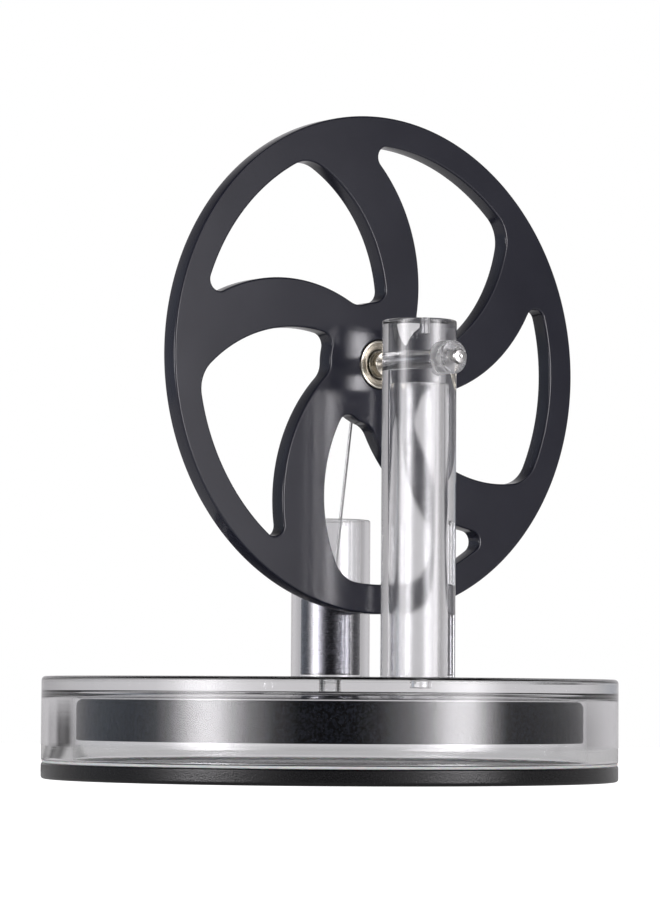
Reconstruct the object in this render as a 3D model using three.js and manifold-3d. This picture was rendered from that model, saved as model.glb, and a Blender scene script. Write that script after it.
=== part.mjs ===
// Low-temperature-difference hot-air engine: clear displacer chamber on a black plate, clear power
// cylinder in the middle, clear post carrying a five-spoke flywheel on a miniature ball bearing.
// Millimetres, +Z up, origin at the centre of the underside. The axle runs along Y, front is -Y.
import * as THREE from 'three';
import { mergeVertices } from 'three/addons/utils/BufferGeometryUtils.js';
import Module from 'manifold-3d';

const wasm = await Module();
wasm.setup();

// ---- driving dimensions ------------------------------------------------------------------------
const ROUND = 60;            // facets on the large turned parts
const SMALL = 28;            // facets on the small turned parts
const TINY = 14;             // facets on pins and wire

const baseR = 47.5;          // outer radius of the whole base
const plateT = 2.6;          // black plate thickness
const gasketT = 0.45;        // white gasket thickness
const chamberBoreR = 42.4;
const chamberTopZ = 16.75;   // upper face of the clear lid
const ceilingZ = 14.45;      // inner face of the clear lid
const chamberFillet = 1.3;   // inner corner between wall and ceiling
const chamberEdge = 0.7;     // rounding of the lid rim
const portR = 1.25;          // air port under the power cylinder
const pocket = { r: 1.45, depth: 1.65, x: -2.5, y: -23.1 };   // blind hole in the lid under the post

const displacerR = 41.8;
const displacerZ0 = 6.4;
const displacerZ1 = 13.05;
const displacerEdge = 1.1;
const magnetR = 4;
const magnetT = 1.9;

const cylinderR = 6.5;
const cylinderBoreR = 5;
const cylinderTopZ = 42.8;
const pistonR = 4.9;
const pistonCavityR = 4.2;
const pistonZ0 = 17.25;
const pistonZ1 = 29.75;
const pistonCrownT = 2.0;

const axleZ = 67.8;
const wheelR = 40.7;
const wheelFrontY = -13.25;
const wheelT = 3.1;
const wheelBackY = wheelFrontY + wheelT;
const wheelEdge = 0.3;       // edge break on the flywheel
const spokes = 5;
const rimInnerR = 35.9;      // outer end of each window
const hubR = 10.25;          // inner end of each window
const leadC = polar(26.0, 159.25);     // centre of the arc on one flank of a window
const leadR = 25.4;
const trailC = polar(24.23, 219.19);   // centre of the arc on the other flank
const trailR = 28.28;
const filletRimLead = 5.6;
const filletRimTrail = 1.8;
const filletHubTrail = 3.5;
const filletHubLead = 2.0;

const bearingR = 4;          // 3 x 8 x 3 miniature ball bearing
const bearingBoreR = 1.5;
const bearingT = 3;
const bearingMidY = wheelFrontY + 0.05 + bearingT / 2;
const ballR = 0.6;
const ballPitchR = 2.75;
const balls = 7;

const postY = -23.5;
const postR = 6;
const postTopZ = 74.2;
const postBoreR = 3.2;       // wide blind hole from below
const postBoreTopZ = 64.0;
const crossBoreR = 1.5;      // hole for the axle bush
const bushFlangeR = 2.7;
const bushFrontY = -32.5;
const bushBoreR = 0.86;
const axleR = 0.8;
const axleTipY = -34.2;

const crankR = 2.75;         // throw of the crank pin
const crankDiscR = 7;
const crankDiscT = 1.95;
const crankRearY = wheelBackY + crankDiscT;
const rodY = -6.3;           // plane of the upper rod eye
const wireR = 0.25;
const eyeR = 1.08;           // centreline radius of a rod eye
const wristZ = 27;

// ---- materials ---------------------------------------------------------------------------------
const paint = (color, roughness, metalness, opacity = 1) =>
  new THREE.MeshStandardMaterial({ color, roughness, metalness, opacity, transparent: opacity < 1 });
const CLEAR = paint(0xdde2e6, 0.06, 0, 0.35);
const BLACK = paint(0x1d1c20, 0.6, 0.2);
const WHEEL = paint(0x2c2d31, 0.38, 0.5);
const FOAM = paint(0x2a2a2d, 0.92, 0);
const STEEL = paint(0xc9cacd, 0.2, 1);
const WHITE = paint(0xeeeeec, 0.6, 0);
const MAGNET = paint(0x9fa1a6, 0.3, 1);

// ---- small helpers -----------------------------------------------------------------------------
function polar(r, deg) {
  const a = THREE.MathUtils.degToRad(deg);
  return new THREE.Vector2(r * Math.cos(a), r * Math.sin(a));
}

// Points of an arc about c, from the direction of p to the direction of q.
function arc(c, r, p, q, ccw, n) {
  const a0 = Math.atan2(p.y - c.y, p.x - c.x);
  let a1 = Math.atan2(q.y - c.y, q.x - c.x);
  if (ccw && a1 < a0) a1 += 2 * Math.PI;
  if (!ccw && a1 > a0) a1 -= 2 * Math.PI;
  const out = [];
  for (let i = 0; i < n; i += 1) {
    const a = a0 + ((a1 - a0) * i) / n;
    out.push(new THREE.Vector2(c.x + r * Math.cos(a), c.y + r * Math.sin(a)));
  }
  return out;
}

// Point at distance d1 from c1 and d2 from c2, on the side of the hint.
function meet(c1, d1, c2, d2, hint) {
  const axis = c2.clone().sub(c1);
  const d = axis.length();
  const along = (d1 * d1 - d2 * d2 + d * d) / (2 * d);
  const off = Math.sqrt(d1 * d1 - along * along);
  const u = axis.clone().normalize();
  const v = new THREE.Vector2(-u.y, u.x);
  const foot = c1.clone().addScaledVector(u, along);
  const a = foot.clone().addScaledVector(v, off);
  const b = foot.clone().addScaledVector(v, -off);
  return a.distanceTo(hint) < b.distanceTo(hint) ? a : b;
}

// Closed profile of [radius, height] turned about Z.
function turned(profile, facets = SMALL) {
  const g = lathe(profile, facets);
  g.rotateX(Math.PI / 2);
  return g;
}

// Closed profile of [radius, y] turned about the axle line.
function turnedOnAxle(profile, facets = SMALL, z = axleZ) {
  const g = lathe(profile, facets);
  g.translate(0, 0, z);
  return g;
}

function lathe(profile, facets) {
  const pts = profile.map(([r, h]) => new THREE.Vector2(r, h));
  let area = 0;
  pts.forEach((p, i) => {
    const q = pts[(i + 1) % pts.length];
    area += p.x * q.y - q.x * p.y;
  });
  if (area < 0) pts.reverse();
  pts.push(pts[0].clone());
  return new THREE.LatheGeometry(pts, facets);
}

// Rectangle profile between two radii and two heights, with equal edge breaks.
function band(r0, r1, h0, h1, e = 0) {
  if (e === 0) return [[r0, h0], [r1, h0], [r1, h1], [r0, h1]];
  const inner = r0 > 0 ? [[r0 + e, h1], [r0, h1 - e], [r0, h0 + e], [r0 + e, h0]] : [[0, h1], [0, h0]];
  return [...inner, [r1 - e, h0], [r1, h0 + e], [r1, h1 - e], [r1 - e, h1]];
}

// Quarter-round points for a profile corner centred at (r, h).
function quarter(r, h, rad, fromDeg, toDeg, n) {
  const out = [];
  for (let i = 0; i <= n; i += 1) {
    const p = polar(rad, fromDeg + ((toDeg - fromDeg) * i) / n);
    out.push([r + p.x, h + p.y]);
  }
  return out;
}

function solid(geometry) {
  const g = geometry.index ? geometry.toNonIndexed() : geometry.clone();
  g.deleteAttribute('normal');
  g.deleteAttribute('uv');
  const m = mergeVertices(g, 1e-4);
  return new wasm.Manifold(new wasm.Mesh({
    numProp: 3,
    vertProperties: new Float32Array(m.attributes.position.array),
    triVerts: new Uint32Array(m.index.array),
  }));
}

function geometryOf(manifold) {
  const mesh = manifold.getMesh();
  const g = new THREE.BufferGeometry();
  g.setAttribute('position', new THREE.BufferAttribute(new Float32Array(mesh.vertProperties), 3));
  g.setIndex(new THREE.BufferAttribute(new Uint32Array(mesh.triVerts), 1));
  g.computeVertexNormals();
  return g;
}

function cut(body, ...tools) {
  return geometryOf(tools.reduce((acc, t) => acc.subtract(solid(t)), solid(body)));
}

function join(...bodies) {
  return geometryOf(bodies.map(solid).reduce((acc, b) => acc.add(b)));
}

function pinZ(r, z0, z1, x = 0, y = 0, facets = TINY) {
  const g = turned(band(0, r, z0, z1), facets);
  g.translate(x, y, 0);
  return g;
}

// ---- base ----------------------------------------------------------------------------------------
function bottomPlate() {
  const e = 0.5;
  return turned([[0, 0], ...quarter(baseR - e, e, e, -90, 0, 2),
    ...quarter(baseR - 0.25, plateT - 0.25, 0.25, 0, 90, 1), [0, plateT]], ROUND);
}

function baseGasket() {
  return turned(band(chamberBoreR + 0.3, baseR - 0.1, plateT, plateT + gasketT), ROUND);
}

function chamberBody() {
  const e = chamberEdge;
  const z0 = plateT + gasketT;
  const f = chamberFillet;
  const cup = turned([[0, ceilingZ], ...quarter(chamberBoreR - f, ceilingZ - f, f, 90, 0, 3), [chamberBoreR, z0], [baseR - 0.2, z0], [baseR, z0 + 0.2],
    ...quarter(baseR - e, chamberTopZ - e, e, 0, 90, 2), [0, chamberTopZ]], ROUND);
  const port = pinZ(portR, ceilingZ - 1, chamberTopZ + 1);
  const seat = pinZ(pocket.r, chamberTopZ - pocket.depth, chamberTopZ + 1, pocket.x, pocket.y);
  return cut(cup, port, seat);
}

// ---- displacer -----------------------------------------------------------------------------------
function displacerDisc() {
  const e = displacerEdge;
  const pocket = displacerZ1 - magnetT - 0.05;
  return turned([[0, displacerZ0], [displacerR, displacerZ0],
    ...quarter(displacerR - e, displacerZ1 - e, e, 0, 90, 2),
    [magnetR + 0.1, displacerZ1], [magnetR + 0.1, pocket], [0, pocket]], ROUND);
}

function displacerMagnet() {
  return turned(band(0, magnetR, displacerZ1 - magnetT, displacerZ1, 0.15), SMALL);
}

// ---- power cylinder, piston and rod --------------------------------------------------------------
function powerCylinder() {
  return turned(band(cylinderBoreR, cylinderR, chamberTopZ, cylinderTopZ, 0.15), SMALL + 8);
}

function piston() {
  const e = 0.2;
  const cup = turned([[0, pistonZ0], [pistonR - e, pistonZ0], [pistonR, pistonZ0 + e],
    [pistonR, pistonZ1 - e], [pistonR - e, pistonZ1], [pistonCavityR, pistonZ1],
    [pistonCavityR, pistonZ0 + pistonCrownT], [0, pistonZ0 + pistonCrownT]], SMALL + 8);
  const hole = turnedOnAxle(band(0, 0.62, 0, 8), TINY, wristZ);
  return cut(cup, hole);
}

// Pin let into the piston wall, ending just short of the lower rod eye.
function wristPin() {
  return turnedOnAxle(band(0, 0.58, wireR + 0.3, pistonR - 0.25, 0.1), TINY, wristZ);
}

function rodEye(y, z) {
  const g = new THREE.TorusGeometry(eyeR, wireR, 6, 16);
  g.rotateX(Math.PI / 2);
  g.translate(0, y, z);
  return g;
}

// Wire bent to an eye at each end, leaning from the crank plane to the cylinder axis.
function connectingRod() {
  const top = new THREE.Vector3(0, rodY, axleZ - crankR - eyeR);
  const bottom = new THREE.Vector3(0, 0, wristZ + eyeR);
  const run = top.clone().sub(bottom);
  const wire = new THREE.CylinderGeometry(wireR, wireR, run.length(), 8);
  wire.applyQuaternion(new THREE.Quaternion().setFromUnitVectors(
    new THREE.Vector3(0, 1, 0), run.clone().normalize()));
  const mid = top.clone().add(bottom).multiplyScalar(0.5);
  wire.translate(mid.x, mid.y, mid.z);
  return join(wire, rodEye(rodY, axleZ - crankR), rodEye(0, wristZ));
}

// ---- flywheel ------------------------------------------------------------------------------------
// Window between two curved spokes: rim arc, trailing flank, hub arc, leading flank, four fillets.
function windowOutline() {
  const o = new THREE.Vector2(0, 0);
  const f1 = meet(o, rimInnerR - filletRimLead, leadC, leadR - filletRimLead, polar(30.3, 119));
  const f2 = meet(o, rimInnerR - filletRimTrail, trailC, trailR + filletRimTrail, polar(34, 159));
  const f3 = meet(o, hubR + filletHubTrail, trailC, trailR + filletHubTrail, polar(13.8, 109));
  const f4 = meet(o, hubR + filletHubLead, leadC, leadR - filletHubLead, polar(12.3, 95));
  const away = (c, f) => f.clone().multiplyScalar(2).sub(c);
  return [
    ...arc(o, rimInnerR, f1, f2, true, 6),
    ...arc(f2, filletRimTrail, away(o, f2), trailC, true, 4),
    ...arc(trailC, trailR, f2, f3, false, 7),
    ...arc(f3, filletHubTrail, trailC, o, true, 4),
    ...arc(o, hubR, f3, f4, false, 2),
    ...arc(f4, filletHubLead, o, away(leadC, f4), true, 4),
    ...arc(leadC, leadR, f4, f1, true, 6),
    ...arc(f1, filletRimLead, away(leadC, f1), away(o, f1), true, 5),
  ];
}

function circlePoints(r, n) {
  return Array.from({ length: n }, (_, i) => polar(r, (360 * i) / n));
}

function flywheel() {
  const shape = new THREE.Shape(circlePoints(wheelR, 96));
  const outline = windowOutline();
  for (let k = 0; k < spokes; k += 1) {
    const turn = (2 * Math.PI * k) / spokes;
    const o = new THREE.Vector2(0, 0);
    shape.holes.push(new THREE.Path(outline.map((p) => p.clone().rotateAround(o, turn)).reverse()));
  }
  shape.holes.push(new THREE.Path(circlePoints(bearingR + 0.08, 28).reverse()));
  const g = new THREE.ExtrudeGeometry(shape, {
    depth: wheelT - 2 * wheelEdge,
    bevelEnabled: true,
    bevelThickness: wheelEdge,
    bevelSize: wheelEdge,
    bevelOffset: -wheelEdge,
    bevelSegments: 1,
  });
  g.rotateX(Math.PI / 2);
  g.translate(0, wheelBackY - wheelEdge, axleZ);
  return geometryOf(solid(g));
}

function crankDisc() {
  const recessR = 4.4;
  const disc = turnedOnAxle([[0, wheelBackY + 0.8], [recessR, wheelBackY + 0.8], [recessR, wheelBackY],
    [crankDiscR - 0.2, wheelBackY], [crankDiscR, wheelBackY + 0.2], [crankDiscR, crankRearY - 0.4],
    [crankDiscR - 0.4, crankRearY], [0, crankRearY]], SMALL);
  const tapped = turnedOnAxle(band(0, 0.62, wheelBackY, crankRearY + 1), TINY, axleZ - crankR);
  return cut(disc, tapped);
}

// Shouldered pin with a flat head that keeps the rod eye in place.
function crankPin() {
  const free = 0.2;
  const z = axleZ - crankR;
  const seat = rodY - wireR - free;
  const head = rodY + wireR + free;
  return turnedOnAxle([[0, wheelBackY + 0.95], [0.58, wheelBackY + 0.95], [0.58, crankRearY],
    [1.3, crankRearY], [1.3, seat], [0.75, seat], [0.75, head], [1.4, head], [1.4, head + 0.5],
    [1.2, head + 0.7], [0, head + 0.7]], TINY, z);
}

// ---- bearing -------------------------------------------------------------------------------------
function raceArc(r, side, n) {
  return quarter(ballPitchR, bearingMidY, r, side > 0 ? -40 : 220, side > 0 ? 40 : 140, n);
}

function bearingOuterRing() {
  const y0 = bearingMidY - bearingT / 2;
  const y1 = bearingMidY + bearingT / 2;
  const shoulder = ballPitchR + (ballR + 0.04) * Math.cos(THREE.MathUtils.degToRad(40));
  return turnedOnAxle([[3.55, y0], [bearingR - 0.15, y0], [bearingR, y0 + 0.15], [bearingR, y1 - 0.15],
    [bearingR - 0.15, y1], [3.55, y1], [3.55, y1 - 0.35], [shoulder, y1 - 0.35],
    ...raceArc(ballR + 0.04, 1, 2).reverse(), [shoulder, y0 + 0.35], [3.55, y0 + 0.35]], SMALL);
}

function bearingInnerRing() {
  const y0 = bearingMidY - bearingT / 2;
  const y1 = bearingMidY + bearingT / 2;
  const shoulder = ballPitchR - (ballR + 0.04) * Math.cos(THREE.MathUtils.degToRad(40));
  return turnedOnAxle([[bearingBoreR, y0 + 0.1], [bearingBoreR + 0.1, y0], [shoulder, y0],
    ...raceArc(ballR + 0.04, -1, 2), [shoulder, y1], [bearingBoreR + 0.1, y1],
    [bearingBoreR, y1 - 0.1]], SMALL);
}

function bearingShield(front) {
  const y0 = bearingMidY - bearingT / 2 + 0.15;
  const y = front ? y0 : bearingMidY + bearingT / 2 - 0.33;
  return turnedOnAxle(band(2.5, 3.5, y, y + 0.18), SMALL);
}

function ball(k) {
  const g = new THREE.SphereGeometry(ballR, 10, 6);
  const p = polar(ballPitchR, (360 * k) / balls);
  g.translate(p.x, bearingMidY, axleZ + p.y);
  return geometryOf(solid(g));
}

function bearingCage() {
  const ring = turnedOnAxle(band(ballPitchR - 0.22, ballPitchR + 0.22,
    bearingMidY - 0.1, bearingMidY + 0.85), 28);
  const pockets = [];
  for (let k = 0; k < balls; k += 1) {
    const g = new THREE.SphereGeometry(ballR + 0.06, 8, 6);
    const p = polar(ballPitchR, (360 * k) / balls);
    g.translate(p.x, bearingMidY, axleZ + p.y);
    pockets.push(g);
  }
  return cut(ring, ...pockets);
}

// ---- axle and post -------------------------------------------------------------------------------
function axle() {
  return turnedOnAxle([[0, axleTipY], [0.7, axleTipY], [1.1, axleTipY + 0.15], [1.25, axleTipY + 0.45],
    [1.25, axleTipY + 0.75], [axleR, bushFrontY - 0.05], [axleR, wheelBackY + 0.45],
    [0, wheelBackY + 0.45]], TINY + 4);
}

function axleBush() {
  const seat = postY - postR - 0.15;
  return turnedOnAxle([[bushBoreR, bushFrontY], [bushFlangeR - 0.25, bushFrontY],
    [bushFlangeR, bushFrontY + 0.25], [bushFlangeR, seat], [crossBoreR - 0.06, seat],
    [crossBoreR - 0.06, postY + postR - 0.1], [bushBoreR, postY + postR - 0.1]], 24);
}

// Flanged sleeve that fills the bearing bore and keeps the wheel clear of the post.
function axleSpacer() {
  return turnedOnAxle([[bushBoreR, wheelFrontY - 1.55], [2.0, wheelFrontY - 1.55],
    [2.1, wheelFrontY - 1.4], [2.1, wheelFrontY - 0.5], [1.9, wheelFrontY - 0.35],
    [1.9, wheelFrontY + 0.04], [bearingBoreR - 0.04, wheelFrontY + 0.04],
    [bearingBoreR - 0.04, wheelBackY - 0.1], [bushBoreR, wheelBackY - 0.1]], 24);
}

function axleClip() {
  return turnedOnAxle(band(axleR + 0.05, 1.75, wheelBackY - 0.04, wheelBackY + 0.31), 24);
}

function supportPost() {
  const rod = turned(band(0, postR, chamberTopZ, postTopZ, 0.25), 40);
  rod.translate(0, postY, 0);
  const bore = pinZ(postBoreR, chamberTopZ - 1, postBoreTopZ, 0, postY, 32);
  const cross = turnedOnAxle(band(0, crossBoreR, postY - postR - 1, postY + postR + 1), 24);
  const dimple = pinZ(0.6, postTopZ - 2.5, postTopZ + 1, 0, postY - 1, 12);
  return cut(rod, bore, cross, dimple);
}

// ---- assembly ------------------------------------------------------------------------------------
const engine = new THREE.Group();
engine.name = 'hot_air_engine';

function place(name, geometry, material) {
  const mesh = new THREE.Mesh(geometry, material);
  mesh.name = name;
  engine.add(mesh);
}

place('bottom_plate', bottomPlate(), BLACK);
place('base_gasket', baseGasket(), WHITE);
place('chamber_body', chamberBody(), CLEAR);
place('displacer_disc', displacerDisc(), FOAM);
place('displacer_magnet', displacerMagnet(), MAGNET);
place('power_cylinder', powerCylinder(), CLEAR);
place('piston', piston(), STEEL);
place('wrist_pin', wristPin(), STEEL);
place('connecting_rod', connectingRod(), STEEL);
place('support_post', supportPost(), CLEAR);
place('axle_bush', axleBush(), CLEAR);
place('axle', axle(), STEEL);
place('axle_spacer', axleSpacer(), STEEL);
place('axle_clip', axleClip(), STEEL);
place('bearing_inner_ring', bearingInnerRing(), STEEL);
place('bearing_outer_ring', bearingOuterRing(), STEEL);
place('bearing_shield_front', bearingShield(true), STEEL);
place('bearing_shield_rear', bearingShield(false), STEEL);
place('bearing_cage', bearingCage(), STEEL);
for (let k = 0; k < balls; k += 1) place(`bearing_ball_${k + 1}`, ball(k), STEEL);
place('flywheel', flywheel(), WHEEL);
place('crank_disc', crankDisc(), WHEEL);
place('crank_pin', crankPin(), STEEL);

export default engine;
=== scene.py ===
"""Low-temperature hot-air engine: clear displacer chamber, clear cylinder and post, five-spoke wheel.

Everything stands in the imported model's frame: +Z up, origin at the centre of the underside, axle
along Y, front towards -Y. Shapes are written in millimetres and turned into metres as meshes.
"""

import math

import bmesh
import bpy
from mathutils import Matrix, Vector, noise


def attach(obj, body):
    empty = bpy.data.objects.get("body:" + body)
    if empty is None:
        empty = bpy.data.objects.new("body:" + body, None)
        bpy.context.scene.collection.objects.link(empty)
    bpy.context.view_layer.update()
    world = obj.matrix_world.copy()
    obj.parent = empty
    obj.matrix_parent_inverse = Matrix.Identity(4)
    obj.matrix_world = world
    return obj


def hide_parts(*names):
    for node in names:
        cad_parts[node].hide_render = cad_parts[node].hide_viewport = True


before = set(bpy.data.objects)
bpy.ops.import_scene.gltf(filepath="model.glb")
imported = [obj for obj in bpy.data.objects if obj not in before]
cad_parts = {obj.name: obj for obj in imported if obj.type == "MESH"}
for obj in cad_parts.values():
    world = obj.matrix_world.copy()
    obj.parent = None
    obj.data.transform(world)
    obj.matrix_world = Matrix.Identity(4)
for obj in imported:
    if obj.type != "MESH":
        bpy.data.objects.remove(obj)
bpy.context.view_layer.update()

MM = 0.001

# ---- dimensions in millimetres, as in the solid model --------------------------------------------
BASE_R = 47.5
PLATE_T = 2.6
GASKET_T = 0.45
BORE_R = 42.4
LID_Z = 16.75
CEILING_Z = 14.45
PORT_R = 1.25
THREAD_TURNS, THREAD_PITCH, THREAD_DEPTH = 5, 0.4, 0.05
FILLET = 1.3
LID_EDGE = 0.7
POCKET_R, POCKET_DEPTH, POCKET_XY = 1.45, 1.65, (-2.5, -23.1)
DISPLACER_R = 41.8
DISPLACER_Z = (6.4, 13.05)
DISPLACER_EDGE = 1.1
MAGNET_R = 4.0
MAGNET_T = 1.9
CYLINDER_R = (5.0, 6.5)
CYLINDER_TOP = 42.8
PISTON_R = (4.2, 4.9)
PISTON_Z = (17.25, 29.75)
CROWN_T = 2.0
AXLE_Z = 67.8
WHEEL_R = 40.7
WHEEL_FRONT = -13.25
WHEEL_T = 3.1
WHEEL_BACK = WHEEL_FRONT + WHEEL_T
WHEEL_EDGE = 0.3
WINDOWS = 5
BEARING_R = 4.0
BEARING_T = 3.0
BEARING_MID = WHEEL_FRONT + 0.05 + BEARING_T / 2
BALLS = 7
BALL_R = 0.6
RACE_R = BALL_R + 0.04
PITCH_R = 2.75
POST_Y = -23.5
POST_R = 6.0
POST_TOP = 74.2
POST_BORE = (3.2, 64.0)
CROSS_R = 1.5
BUSH_R = 2.7
BUSH_FRONT = -32.5
AXLE_R = 0.8
AXLE_TIP = -34.2
CRANK_THROW = 2.75
CRANK_R = 7.0
CRANK_REAR = WHEEL_BACK + 1.95
ROD_Y = -6.3
WIRE_R = 0.25
PIN_R = 0.58
TAPPED_R = 0.62
EYE_R = 1.08
WRIST_Z = 27.0
BUSHED_R = 0.86
SHARP = 32.0


# ---- mesh helpers --------------------------------------------------------------------------------
def finish(bm, name, sharp=SHARP, flats=None):
    """Object from a bmesh in millimetres. flats(face) marks faces whose borders stay crisp."""
    bmesh.ops.recalc_face_normals(bm, faces=bm.faces)
    limit = math.radians(sharp)
    for f in bm.faces:
        f.smooth = True
    for e in bm.edges:
        if len(e.link_faces) == 2:
            a, b = e.link_faces
            e.smooth = e.calc_face_angle() < limit and not (flats and flats(a) != flats(b))
    bmesh.ops.scale(bm, vec=(MM, MM, MM), verts=bm.verts)
    mesh = bpy.data.meshes.new(name)
    bm.to_mesh(mesh)
    bm.free()
    obj = bpy.data.objects.new(name, mesh)
    bpy.context.scene.collection.objects.link(obj)
    return obj


def rounded(corners, steps=6, support=0.12):
    """Closed (radius, height) profile from (radius, height[, fillet]) corners."""
    out = []
    for i, c in enumerate(corners):
        p = Vector(c[:2])
        f = c[2] if len(c) > 2 else 0
        if f <= 0:
            out.append(tuple(p))
            continue
        a = Vector(corners[i - 1][:2]) - p
        b = Vector(corners[(i + 1) % len(corners)][:2]) - p
        la, lb = a.length, b.length
        a.normalize()
        b.normalize()
        half = a.angle(b) / 2
        t = f / math.tan(half)
        centre = p + (a + b).normalized() * (f / math.sin(half))
        u = p + a * t - centre
        v = p + b * t - centre
        if la > t + 3 * support:
            out.append(tuple(p + a * (t + support)))
        sweep = u.angle(v)
        side = 1 if u.x * v.y - u.y * v.x > 0 else -1
        for k in range(steps + 1):
            w = side * sweep * k / steps
            q = Vector((u.x * math.cos(w) - u.y * math.sin(w), u.x * math.sin(w) + u.y * math.cos(w)))
            out.append(tuple(centre + q))
        if lb > t + 3 * support:
            out.append(tuple(p + b * (t + support)))
    return out


def lathe(profile, segments, about="z", at=(0.0, 0.0)):
    """bmesh of a closed profile turned about Z at (x, y), or about Y at (x, z)."""
    bm = bmesh.new()
    rings = []
    for r, h in profile:
        ring = []
        for k in range(segments if r > 1e-6 else 1):
            w = 2 * math.pi * (k + 0.5) / segments
            u, v = r * math.cos(w) + at[0], r * math.sin(w) + at[1]
            if r <= 1e-6:
                u, v = at
            ring.append(bm.verts.new((u, v, h) if about == "z" else (u, h, v)))
        rings.append(ring)
    for a, b in zip(rings, rings[1:] + rings[:1]):
        if len(a) == 1 and len(b) == 1:
            continue
        for k in range(segments):
            m = (k + 1) % segments
            if len(a) == 1:
                bm.faces.new((a[0], b[k], b[m]))
            elif len(b) == 1:
                bm.faces.new((a[k], a[m], b[0]))
            else:
                bm.faces.new((a[k], a[m], b[m], b[k]))
    bmesh.ops.recalc_face_normals(bm, faces=bm.faces)
    return bm


def turned(name, profile, segments=160, about="z", at=(0.0, 0.0)):
    return finish(lathe(profile, segments, about, at), name)


def on_axle(name, profile, segments=128, z=AXLE_Z):
    return turned(name, profile, segments, "y", (0.0, z))


def carve(obj, *tools):
    """Cuts the tools out of obj and gives it fresh crisp edges."""
    for tool in tools:
        mod = obj.modifiers.new("cut", "BOOLEAN")
        mod.operation = "DIFFERENCE"
        mod.solver = "EXACT"
        mod.object = tool
    dg = bpy.context.evaluated_depsgraph_get()
    mesh = bpy.data.meshes.new_from_object(obj.evaluated_get(dg))
    obj.modifiers.clear()
    old = obj.data
    obj.data = mesh
    name = old.name
    bpy.data.meshes.remove(old)
    mesh.name = name
    for tool in tools:
        data = tool.data
        bpy.data.objects.remove(tool)
        bpy.data.meshes.remove(data)
    bm = bmesh.new()
    bm.from_mesh(mesh)
    limit = math.radians(SHARP)
    for f in bm.faces:
        f.smooth = True
    for e in bm.edges:
        if len(e.link_faces) == 2:
            e.smooth = e.calc_face_angle() < limit
    bm.to_mesh(mesh)
    bm.free()
    return obj


def sweep(name, points, radius, sides=12):
    """Round wire along a polyline, with domed ends."""
    pts = [Vector(p) for p in points]
    tangents = []
    for i in range(len(pts)):
        a, b = pts[max(i - 1, 0)], pts[min(i + 1, len(pts) - 1)]
        tangents.append((b - a).normalized())
    up = tangents[0].orthogonal().normalized()
    bm = bmesh.new()
    rings = []

    def ring(centre, t, r):
        side = t.cross(up).normalized()
        return [
            bm.verts.new(centre + (up * math.cos(w) + side * math.sin(w)) * r)
            for w in (2 * math.pi * k / sides for k in range(sides))
        ]

    for i, (p, t) in enumerate(zip(pts, tangents)):
        up = (up - t * up.dot(t)).normalized()
        if i == 0:
            rings.append(ring(p - t * radius * 0.35, t, radius * 0.6))
        rings.append(ring(p, t, radius))
        if i == len(pts) - 1:
            rings.append(ring(p + t * radius * 0.35, t, radius * 0.6))
    for a, b in zip(rings, rings[1:]):
        for k in range(sides):
            m = (k + 1) % sides
            bm.faces.new((a[k], a[m], b[m], b[k]))
    bm.faces.new(rings[0])
    bm.faces.new(rings[-1])
    return finish(bm, name, 50)


def smooth_path(points, steps=6):
    """Catmull-Rom curve through the points."""
    p = [Vector(q) for q in points]
    p = [2 * p[0] - p[1]] + p + [2 * p[-1] - p[-2]]
    out = []
    for i in range(1, len(p) - 2):
        for k in range(steps):
            t = k / steps
            out.append(
                0.5
                * (
                    2 * p[i]
                    + (p[i + 1] - p[i - 1]) * t
                    + (2 * p[i - 1] - 5 * p[i] + 4 * p[i + 1] - p[i + 2]) * t * t
                    + (3 * p[i] - p[i - 1] - 3 * p[i + 1] + p[i + 2]) * t**3
                )
            )
    return out + [p[-2]]


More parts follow.
